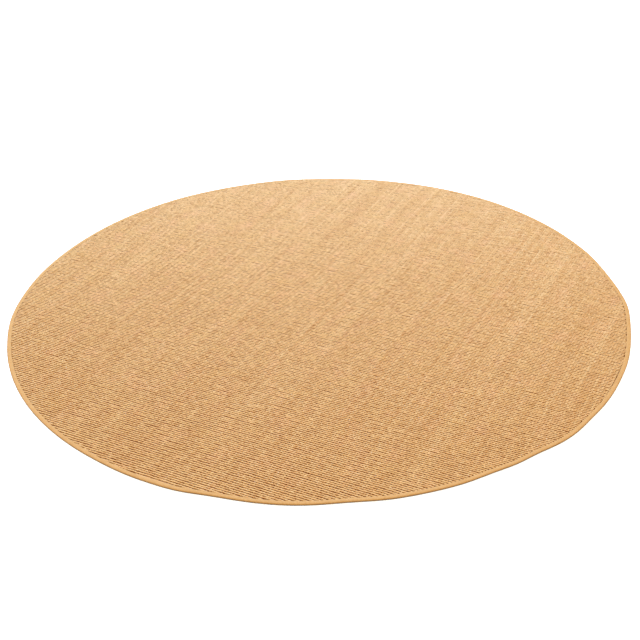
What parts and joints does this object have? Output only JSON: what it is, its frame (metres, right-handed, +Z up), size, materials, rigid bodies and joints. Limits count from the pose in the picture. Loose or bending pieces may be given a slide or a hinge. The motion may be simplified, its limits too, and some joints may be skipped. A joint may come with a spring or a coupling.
{
  "type": "round sisal rug",
  "caption": "Flat round rug of woven sisal in a natural honey tan, with low ribs across it and a narrow wrapped binding round its slightly uneven edge.",
  "frame": {"origin": "on the floor, under the middle of the rug's outline", "axes": "+Z up from the floor; +X along the woven rows; +Y across them, along the warp"},
  "size_m": [1.4984, 1.5044, 0.0055],
  "materials": {
    "woven_sisal": "coarse ribbed weave of natural sisal yarn, matt, mottled from yarn to yarn",
    "edge_yarn": "fine lighter yarn wrapped closely round the edge, matt with a faint sheen"
  },
  "bodies": {
    "root": {"sisal_field": "woven_sisal", "edge_binding": "edge_yarn"}
  },
  "joints": []
}
